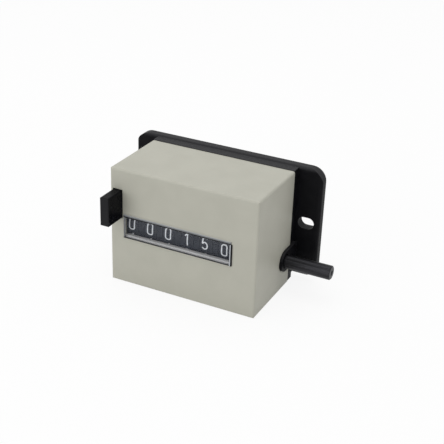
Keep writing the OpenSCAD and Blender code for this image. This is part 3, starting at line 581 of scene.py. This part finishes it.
def figure_strokes(a: float, b: float) -> dict[int, tuple[Stroke, ...]]:
    """Middle lines of the ten figures, drawn with straight pulls and round bowls.

    Every point is a share of the half width and of the half height, about the figure's middle.

    Args:
        a: Half of a figure's width between the middles of its strokes.
        b: Half of its height between the middles of its strokes.

    Returns:
        Each digit's strokes.
    """
    # Radius of the zero's corners, then the heights of the middles of the upper bowls and of the six's.
    c = 0.8 * a
    low, high = 0.55 * b, 0.46 * b
    six = (ring(arc((0, -high), (a, b - high), 90, 450, BOWL)),
           pull(arc((0.55 * a, -high), (1.55 * a, b + high), 180, 92)))
    return {
        0: (ring(quarter((a - c, b - c), c, 0, TURN), quarter((c - a, b - c), c, 90, TURN),
                 line((-a, b - c), (-a, c - b)), quarter((c - a, c - b), c, 180, TURN),
                 quarter((a - c, c - b), c, 270, TURN), line((a, c - b), (a, b - c))),),
        1: (pull(line((0.25 * a, 1.15 * b), (0.25 * a, -1.15 * b), STEM)),
            pull(line((0.2 * a, 1.0 * b), (-0.75 * a, 0.62 * b)))),
        2: (pull(arc((0, low), (a, b - low), 165, -20), line((0.9 * a, 0.3 * b), (-a, -b)),
                 line((-a, -b), (1.1 * a, -b))),),
        3: (pull(arc((0, low), (0.95 * a, b - low), 160, -90),
                 line((0, 2 * low - b), (-0.4 * a, 2 * low - b), STUB)),
            pull(line((-0.4 * a, 0.1 * b), (0, 0.1 * b), STUB),
                 arc((0, -0.45 * b), (a, 0.55 * b), 90, -160))),
        4: (pull(line((0.35 * a, b), (-a, -0.4 * b)), line((-a, -0.4 * b), (1.25 * a, -0.4 * b))),
            pull(line((0.4 * a, 1.15 * b), (0.4 * a, -1.15 * b), STEM))),
        5: (pull(line((0.95 * a, b), (-0.75 * a, b)), line((-0.75 * a, b), (-0.9 * a, 0.05 * b)),
                 arc((-0.02 * a, -0.38 * b), (a, 0.62 * b), 138, -150)),),
        6: six,
        7: (pull(line((-1.1 * a, b), (a, b)), line((a, b), (-0.35 * a, -1.15 * b), SLANT)),),
        8: (ring(arc((0, low), (0.85 * a, b - low), 90, 450, BOWL)),
            ring(arc((0, -0.45 * b), (a, 0.55 * b), 90, 450, BOWL))),
        9: tuple(Stroke(-stroke.path, stroke.closed) for stroke in six),
    }


@dataclass
class CountingTrain:
    """The number wheels with their figures, and the pinions that carry from one to the next.

    The figure that is shown, the few degrees that it stands above the front and its shift along x are
    given wheel by wheel, from the units to the left.
    """

    wheels: int = 6
    shown: tuple[int, ...] = (0, 5, 1, 0, 0, 0)
    settle_deg: tuple[float, ...] = (0.1, 3.5, 2.7, 3.6, 3.6, 5.2)
    first_drum_x: float = 15.15
    drum_pitch: float = 7.1
    figure_shift: tuple[float, ...] = (-0.4, -0.5, -0.2, -0.2, -0.1, -0.1)
    figure_w: float = 2.35
    figure_h: float = 4.45
    stroke_w: float = 0.44
    ink_t: float = 0.04
    sunk: float = 0.06
    digit_step_deg: float = 36.0

    def dress(self, dresser: Dresser) -> None:
        """Give wheels and pinions their finishes."""
        drums = (f"digit_wheel_{number}" for number in range(1, self.wheels + 1))
        pinions = (f"transfer_pinion_{number}" for number in range(1, self.wheels))
        dresser.dress(SLATE_ACETAL, "wheel_comb", *drums)
        dresser.dress(NATURAL_ACETAL, *pinions)

    def ribbon(self, stroke: Stroke, place: np.ndarray, radius: float,
               angle: float) -> tuple[np.ndarray, list]:
        """Wrap one stroke on a rim as a closed ribbon.

        The profile is a rectangle of the stroke's width, from below the rim to the ink's top. A point at
        width u, height v and depth r of the profile goes to x = u, y = -r cos(phi), z = r sin(phi) about
        the wheel's middle, with phi = angle + v / radius.

        Args:
            stroke: The stroke's middle line.
            place: Middle of the figure on the wheel's axis.
            radius: Radius of the rim.
            angle: Angle of the figure above the front, in radians.

        Returns:
            The points and the faces.
        """
        left, right = stroke.edges(self.stroke_w / 2)
        flat = np.stack((left, right, right, left), axis=1)
        depth = radius + np.array((-self.sunk, -self.sunk, self.ink_t, self.ink_t))
        phi = angle + flat[..., 1] / radius
        points = np.stack((flat[..., 0], -depth * np.cos(phi), depth * np.sin(phi)), axis=-1) + place
        count, corners = flat.shape[:2]
        step = np.arange(count if stroke.closed else count - 1)[:, None]
        side = np.arange(corners)[None, :]
        here, ahead = corners * step, corners * ((step + 1) % count)
        turn = (side + 1) % corners
        walls = np.stack((here + side, ahead + side, ahead + turn, here + turn), axis=-1)
        every = np.arange(corners * count)
        caps = [] if stroke.closed else [every[:corners].tolist(), every[:-corners - 1:-1].tolist()]
        return points.reshape(-1, 3), walls.reshape(-1, 4).tolist() + caps

    def figures(self, number: int, dresser: Dresser) -> bpy.types.Object:
        """Make the ten figures of one wheel, as one piece that rides on it.

        Args:
            number: The wheel, counted from the units.
            dresser: Holder of the finishes.

        Returns:
            The new piece.
        """
        low, high = (np.array(corner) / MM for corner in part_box(f"digit_wheel_{number}"))
        radius = (high[2] - low[2]) / 2
        strokes = figure_strokes((self.figure_w - self.stroke_w) / 2, (self.figure_h - self.stroke_w) / 2)
        wheel = number - 1
        middle = (low + high) / 2
        middle[0] = self.first_drum_x - wheel * self.drum_pitch + self.figure_shift[wheel]
        points, faces, used = [], [], 0
        for digit, parts in strokes.items():
            angle = math.radians(self.settle_deg[wheel] - self.digit_step_deg * (digit - self.shown[wheel]))
            for stroke in parts:
                places, walls = self.ribbon(stroke, middle, radius, angle)
                points.append(places)
                faces.extend([[used + index for index in face] for face in walls])
                used += len(places)
        return dresser.piece(f"wheel_{number}_figures", np.vstack(points), faces, STAMPED_INK,
                             f"wheel_{number}")

    def build(self, dresser: Dresser) -> None:
        """Make the figures of all wheels."""
        for number in range(1, self.wheels + 1):
            self.figures(number, dresser)


def bar_along_x(section: np.ndarray, ends: tuple[float, float]) -> tuple[np.ndarray, np.ndarray]:
    """Carry a flat outline along x, from one end to the other, and close both ends.

    Each end holds the same ring of points (y, z). A wall joins every two neighbours of one ring to the
    same two of the other, and the ends are split into triangles around their first point.

    Args:
        section: Points (y, z) of the outline, one a row, turning left.
        ends: Lower and upper x.

    Returns:
        The points, and the faces as triangles.
    """
    count = len(section)
    points = np.column_stack((np.repeat(ends, count), np.tile(section, (2, 1))))
    here = np.arange(count)
    ahead = (here + 1) % count
    walls = np.vstack((np.column_stack((here, ahead, ahead + count)),
                       np.column_stack((here, ahead + count, here + count))))
    fan = np.column_stack((np.zeros(count - 2, int), here[1:-1], here[2:]))
    return points, np.vstack((walls, fan[:, ::-1], fan + count))


@dataclass
class WindowStrip:
    """The pale strip on the shelf behind the lens, which closes the gap below the figures."""

    height: float = 0.75
    behind_lens: float = 0.06
    depth: float = 1.6
    round_r: float = 0.25
    end_gap: float = 0.1

    def build(self, dresser: Dresser) -> bpy.types.Object:
        """Make the strip from the lens's place: a rectangle with its two upper corners rounded, along x.

        Args:
            dresser: Holder of the finishes.

        Returns:
            The new piece.
        """
        low, high = (np.array(corner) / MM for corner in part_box("window_lens"))
        front, foot = high[1] + self.behind_lens, low[2]
        rear, top = front + self.depth, foot + self.height
        r = self.round_r
        section = np.vstack(([(front, foot), (rear, foot)], quarter((rear - r, top - r), r, 0),
                             quarter((front + r, top - r), r, 90)))
        points, faces = bar_along_x(section, (low[0] + self.end_gap, high[0] - self.end_gap))
        return dresser.piece("window_strip", points, faces, PALE_ABS, "frame")


@dataclass
class WindowTrim:
    """Bars by the lens on the housing's front: a sill, and lip, edge and dark bars of painted light and
    shadow.
    """

    lip_h: float = 0.5
    head_shadow_h: float = 0.38
    head_shadow_overlap: float = 0.2
    foot_shadow_h: float = 0.15
    sill_overlap: float = 0.24
    sill_below: float = 0.1
    edge_w: float = 0.38
    end_shadow_w: float = 0.45
    head_gap: float = 0.2
    foot_gap: float = 0.2
    proud: float = 0.03
    shadow_proud: float = 0.015
    sunk: float = 0.06
    round_r: float = 0.06

    def build(self, dresser: Dresser) -> None:
        """Make the bars from the lens's place, each a rectangle with one round edge at the front.

        A lying bar carries points (y, z) along x. An upright one is made along x from points (x, y) and
        stood up by a cyclic swap of its axes.

        Args:
            dresser: Holder of the finishes.
        """
        low, high = (np.array(corner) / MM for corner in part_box("window_lens"))
        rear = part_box("housing")[0].y / MM + self.sunk
        head_shadow_foot = high[2] - self.head_shadow_overlap
        lip_foot = head_shadow_foot + self.head_shadow_h
        sill, sill_top = low[2] - self.sill_below, low[2] + self.sill_overlap
        foot_shadow_top = sill_top + self.foot_shadow_h
        r = self.round_r
        # The lip is painted grey with a painted highlight on top; the two dark bars are painted shadows at
        # the lens's top edge and at its lower edge.
        for name, finish, proud, under, over in (
                ("window_lip", CUT_ACRYLIC, self.proud, lip_foot, lip_foot + self.lip_h),
                ("window_head_shadow", BLACK_PHENOLIC, self.shadow_proud, head_shadow_foot, lip_foot),
                ("window_foot_shadow", BLACK_PHENOLIC, self.shadow_proud, sill_top, foot_shadow_top),
                ("window_sill", PEBBLE_GREY_ABS, self.proud, sill, sill_top)):
            front = low[1] - proud
            section = np.vstack(([(front, under), (rear, under), (rear, over)],
                                 quarter((front + r, over - r), r, 90)))
            dresser.piece(name, *bar_along_x(section, (low[0], high[0])), finish, "frame")
        # The bright bar is a painted highlight on the lens's right edge, and the dark bar beside it a
        # painted shadow.
        for name, finish, proud, left, right in (
                ("window_edge_painted_light", EDGE_LIGHT_ACRYLIC, self.proud, high[0] - self.edge_w, high[0]),
                ("window_end_shadow", BLACK_PHENOLIC, self.shadow_proud, high[0], high[0] + self.end_shadow_w)):
            front = low[1] - proud
            section = np.vstack(([(right, rear), (left, rear), (left, front)],
                                 quarter((right - r, front + r), r, 270)))
            points, faces = bar_along_x(section, (low[2] + self.foot_gap, high[2] - self.head_gap))
            dresser.piece(name, np.roll(points, -1, axis=1), faces, finish, "frame")


@dataclass
class BlockSides:
    """The sides of the base's block, which fill the step between the block and the housing's sides."""

    inset: float = 0.2
    width: float = 2.2
    depth: float = 3.6
    root: float = 1.2
    foot_inset: float = 0.42
    rise: float = 0.13
    round_r: float = 0.12

    def build(self, dresser: Dresser) -> bpy.types.Object:
        """Make both sides from the housing's place: an upright bar with a root, carried along x.

        The outline starts at the inner corner, where the root ends above the flange's lower edge. It goes
        up the root's rear, over the top's two round corners and down the front to the foot.

        Args:
            dresser: Holder of the finishes.

        Returns:
            The new piece.
        """
        low, high = (np.array(corner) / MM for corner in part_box("housing"))
        front, flange = high[1], high[1] + self.depth
        rear, ledge = flange + self.root, -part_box("base")[1].z / MM
        foot, top = low[2] + self.foot_inset, high[2] + self.rise
        r = self.round_r
        section = np.vstack(([(flange, ledge), (rear, ledge)], quarter((rear - r, top - r), r, 0),
                             quarter((front + r, top - r), r, 90), [(front, foot), (flange, foot)]))
        outer = low[0] + self.inset, high[0] - self.inset
        left, left_faces = bar_along_x(section, (outer[0], outer[0] + self.width))
        right, right_faces = bar_along_x(section, (outer[1] - self.width, outer[1]))
        return dresser.piece("base_block_sides", np.vstack((left, right)),
                             np.vstack((left_faces, right_faces + len(left))), BLACK_PHENOLIC, "frame")


def polar(radius: float, degrees: float | np.ndarray) -> np.ndarray:
    """Points (r cos a, r sin a) at a distance and an angle, or at several angles."""
    angle = np.radians(degrees)
    return radius * np.stack((np.cos(angle), np.sin(angle)), axis=-1)


def wire(path: np.ndarray, radius: float, sides: int = 12) -> tuple[np.ndarray, list]:
    """Carry a circle along a path, square to it, and close both ends.

    At each point the circle is p + r (cos(a) s + sin(a) o), with s square to the path and to x, and o
    square to the path and to s. Quads join every two neighbouring circles.

    Args:
        path: Points of the wire's middle line, one a row.
        radius: Radius of the wire.
        sides: Points on the circle.

    Returns:
        The points and the faces.
    """
    along = np.gradient(path, axis=0)
    along /= np.linalg.norm(along, axis=1, keepdims=True)
    side = np.cross(along, (1.0, 0.0, 0.0))
    side /= np.linalg.norm(side, axis=1, keepdims=True)
    out = np.cross(along, side)
    angle = np.linspace(0, 2 * np.pi, sides, endpoint=False)[None, :, None]
    points = path[:, None] + radius * (np.cos(angle) * side[:, None] + np.sin(angle) * out[:, None])
    here = sides * np.arange(len(path) - 1)[:, None]
    turn = np.arange(sides)[None, :]
    ahead = (turn + 1) % sides
    walls = np.stack((here + turn, here + ahead, here + sides + ahead, here + sides + turn), axis=-1)
    last = sides * (len(path) - 1)
    caps = [list(range(sides))[::-1], list(range(last, last + sides))]
    return points.reshape(-1, 3), walls.reshape(-1, 4).tolist() + caps


@dataclass
class ResetSpring:
    """The torsion spring on the rocker's shaft, with one leg on the base and a pin in a hammer's eye.

    It stands for the stiff solid of the same coil, which is hidden. The pin keeps clear of the wheels,
    which a leg under the hammer would reach at full press.
    """

    wire_r: float = 0.25
    coil_r: float = 2.05
    pitch: float = 0.65
    turns: int = 4
    fixed_deg: float = 270.0
    coil_end_deg: float = 198.12
    pin_bend: float = 0.5
    pin_len: float = 0.85
    pin_lean: float = 0.06
    base_y: float = -3.9
    coil_points: int = 161
    bend_points: int = 10
    solid_sides: int = 6

    def middle_line(self, start_x: float, axis: np.ndarray) -> np.ndarray:
        """The wire's middle line: the leg on the base, the coil, and the pin that leaves it along x.

        The coil is a helix of angle a = fixed - sweep t and x = start + width t. The wire leaves it on the
        tangent and turns to the pin on the curve (1-t)^2 p + 2t(1-t) q + t^2 r.

        Args:
            start_x: Place of the fixed leg.
            axis: Place (y, z) of the rocker's axis.

        Returns:
            The points, one a row.
        """
        sweep = 360 * self.turns + self.fixed_deg - self.coil_end_deg
        width = self.pitch * sweep / 360
        t = np.linspace(0, 1, self.coil_points)
        circle = axis + polar(self.coil_r, self.fixed_deg - sweep * t)
        coil = np.column_stack((start_x + width * t, circle))
        tangent = polar(1.0, self.coil_end_deg - 90)
        corner = coil[-1] + np.array((0.0, *(self.pin_bend * tangent)))
        tip = corner + np.array((self.pin_len, *(self.pin_lean * tangent)))
        s = np.linspace(0, 1, self.bend_points)[1:, None]
        bend = (1 - s) ** 2 * coil[-1] + 2 * s * (1 - s) * corner + s ** 2 * (corner + tip) / 2
        leg = np.array((start_x, self.base_y, coil[0, 2]))
        return np.vstack((leg, coil, bend, tip))

    def build(self, dresser: Dresser) -> bpy.types.Object:
        """Make the spring between the frame and the rocker.

        The solid's wire has flat sides, so its fixed leg's middle is cos(pi / sides) of a radius inside.

        Args:
            dresser: Holder of the finishes.

        Returns:
            The new piece.
        """
        hinge = next(joint for joint in frame["joints"] if joint["name"] == "rocker_turn")
        start_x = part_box("reset_spring")[0].x / MM + self.wire_r * math.cos(math.pi / self.solid_sides)
        path = self.middle_line(start_x, np.array(hinge["pos_m"][1:]) / MM)
        spring = dresser.loose_piece("reset_spring_wire", *wire(path, self.wire_r), SPRING_STEEL)
        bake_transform(spring)
        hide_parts("reset_spring")
        return spring


@dataclass(frozen=True)
class Softbox:
    """A square soft lamp that faces the object."""

    name: str
    place: tuple[float, float, float]
    size: float
    watts: float

    def build(self) -> None:
        """Hang the lamp and turn it to the object."""
        data = bpy.data.lights.new(self.name, "AREA")
        data.size, data.energy = self.size * MM, self.watts
        lamp = bpy.data.objects.new(self.name, data)
        lamp.location = Vector(self.place) * MM
        lamp.rotation_mode = "QUATERNION"
        lamp.rotation_quaternion = (-lamp.location).to_track_quat("-Z", "Y")
        bpy.context.scene.collection.objects.link(lamp)


@dataclass
class Studio:
    """Pale floor, soft light and the camera at the photograph's angle."""

    floor_half: float = 3000.0
    floor_shade: str = "#F4F4F4"
    floor_glow: float = 0.88
    world_strength: float = 0.62
    lamps: tuple[Softbox, ...] = (
        Softbox("top_softbox", place=(-60, 40, 700), size=700, watts=2.3),
        Softbox("front_fill", place=(-260, -600, 120), size=500, watts=1.25),
    )
    focal_px: float = 979.512
    frame_px: float = 444.0
    sensor_mm: float = 36.0
    eye: tuple[float, float, float] = (136.3855, -289.0061, 149.5403)
    azimuth_deg: float = 25.6501
    elevation_deg: float = 26.3973
    roll_deg: float = 2.1794
    clip_m: tuple[float, float] = (0.01, 100.0)

    def floor(self) -> None:
        """Lay the floor under the object: white to the camera, with part of the shadow kept."""
        z = CAD_BOX[0].z
        h = self.floor_half * MM
        mesh = bpy.data.meshes.new("floor")
        mesh.from_pydata([(-h, -h, z), (h, -h, z), (h, h, z), (-h, h, z)], [], [(0, 1, 2, 3)])
        material, tree, output = new_material("paper_matt_white")
        seen = self.seen_rays(tree)
        share = add_node(tree, "ShaderNodeMath", {0: seen, 1: self.floor_glow}, operation="MULTIPLY")
        paper = add_node(tree, "ShaderNodeBsdfDiffuse", {"Color": linear(self.floor_shade)})
        glow = add_node(tree, "ShaderNodeEmission", {"Strength": 1.0})
        mixed = add_node(tree, "ShaderNodeMixShader",
                         {0: share.outputs[0], 1: paper.outputs[0], 2: glow.outputs[0]})
        tree.links.new(mixed.outputs[0], output.inputs["Surface"])
        mesh.materials.append(material)
        floor = bpy.data.objects.new("floor", mesh)
        bpy.context.scene.collection.objects.link(floor)

    @staticmethod
    def seen_rays(tree: bpy.types.NodeTree) -> bpy.types.NodeSocket:
        """One for rays from the camera, from gloss and through clear pieces, and zero for the light's own.

        Args:
            tree: Node tree that takes the nodes.

        Returns:
            The output with the share.
        """
        path = add_node(tree, "ShaderNodeLightPath").outputs
        some = add_node(tree, "ShaderNodeMath", {0: path["Is Camera Ray"], 1: path["Is Glossy Ray"]},
                        operation="MAXIMUM")
        every = add_node(tree, "ShaderNodeMath", {0: some.outputs[0], 1: path["Is Transmission Ray"]},
                         operation="MAXIMUM")
        return every.outputs[0]

    def world(self) -> None:
        """Light from all around, with a white behind the floor's edge that the camera and gloss see."""
        world = bpy.data.worlds.new("studio")
        bpy.context.scene.world = world
        world.use_nodes = True
        tree = world.node_tree
        tree.nodes.clear()
        light = add_node(tree, "ShaderNodeBackground", {"Color": WHITE, "Strength": self.world_strength})
        white = add_node(tree, "ShaderNodeBackground", {"Color": WHITE, "Strength": 1.0})
        mixed = add_node(tree, "ShaderNodeMixShader",
                         {0: self.seen_rays(tree), 1: light.outputs[0], 2: white.outputs[0]})
        output = add_node(tree, "ShaderNodeOutputWorld")
        tree.links.new(mixed.outputs[0], output.inputs["Surface"])

    def camera(self) -> None:
        """Put the camera where the photograph was taken from, rolled as it was."""
        az, el, roll = (math.radians(a) for a in (self.azimuth_deg, self.elevation_deg, self.roll_deg))
        back = Vector((math.sin(az) * math.cos(el), -math.cos(az) * math.cos(el), math.sin(el)))
        right = Vector((math.cos(az), math.sin(az), 0))
        up = back.cross(right)
        turned = math.cos(roll) * right + math.sin(roll) * up
        raised = math.cos(roll) * up - math.sin(roll) * right
        data = bpy.data.cameras.new("camera")
        data.sensor_width = self.sensor_mm
        data.lens = self.focal_px * self.sensor_mm / self.frame_px
        data.clip_start, data.clip_end = self.clip_m
        camera = bpy.data.objects.new("camera", data)
        axes = Matrix((turned, raised, back)).transposed()
        camera.matrix_world = Matrix.LocRotScale(Vector(self.eye) * MM, axes.to_quaternion(), None)
        bpy.context.scene.collection.objects.link(camera)
        bpy.context.scene.camera = camera

    def build(self) -> None:
        """Make the whole studio."""
        self.camera()
        self.floor()
        self.world()
        for lamp in self.lamps:
            lamp.build()
        bpy.context.scene.view_settings.view_transform = "Standard"


def main() -> None:
    """Build the studio, the finishes and the new pieces."""
    logging.basicConfig(level=logging.INFO, format="%(name)s: %(message)s")
    Studio().build()
    dresser = Dresser(frame["nodes"])
    Enclosure().dress(dresser)
    DriveLine().dress(dresser)
    InnerFrame().dress(dresser)
    train = CountingTrain()
    train.dress(dresser)
    train.build(dresser)
    WindowStrip().build(dresser)
    WindowTrim().build(dresser)
    BlockSides().build(dresser)
    ResetSpring().build(dresser)


if __name__ == "__main__":
    main()
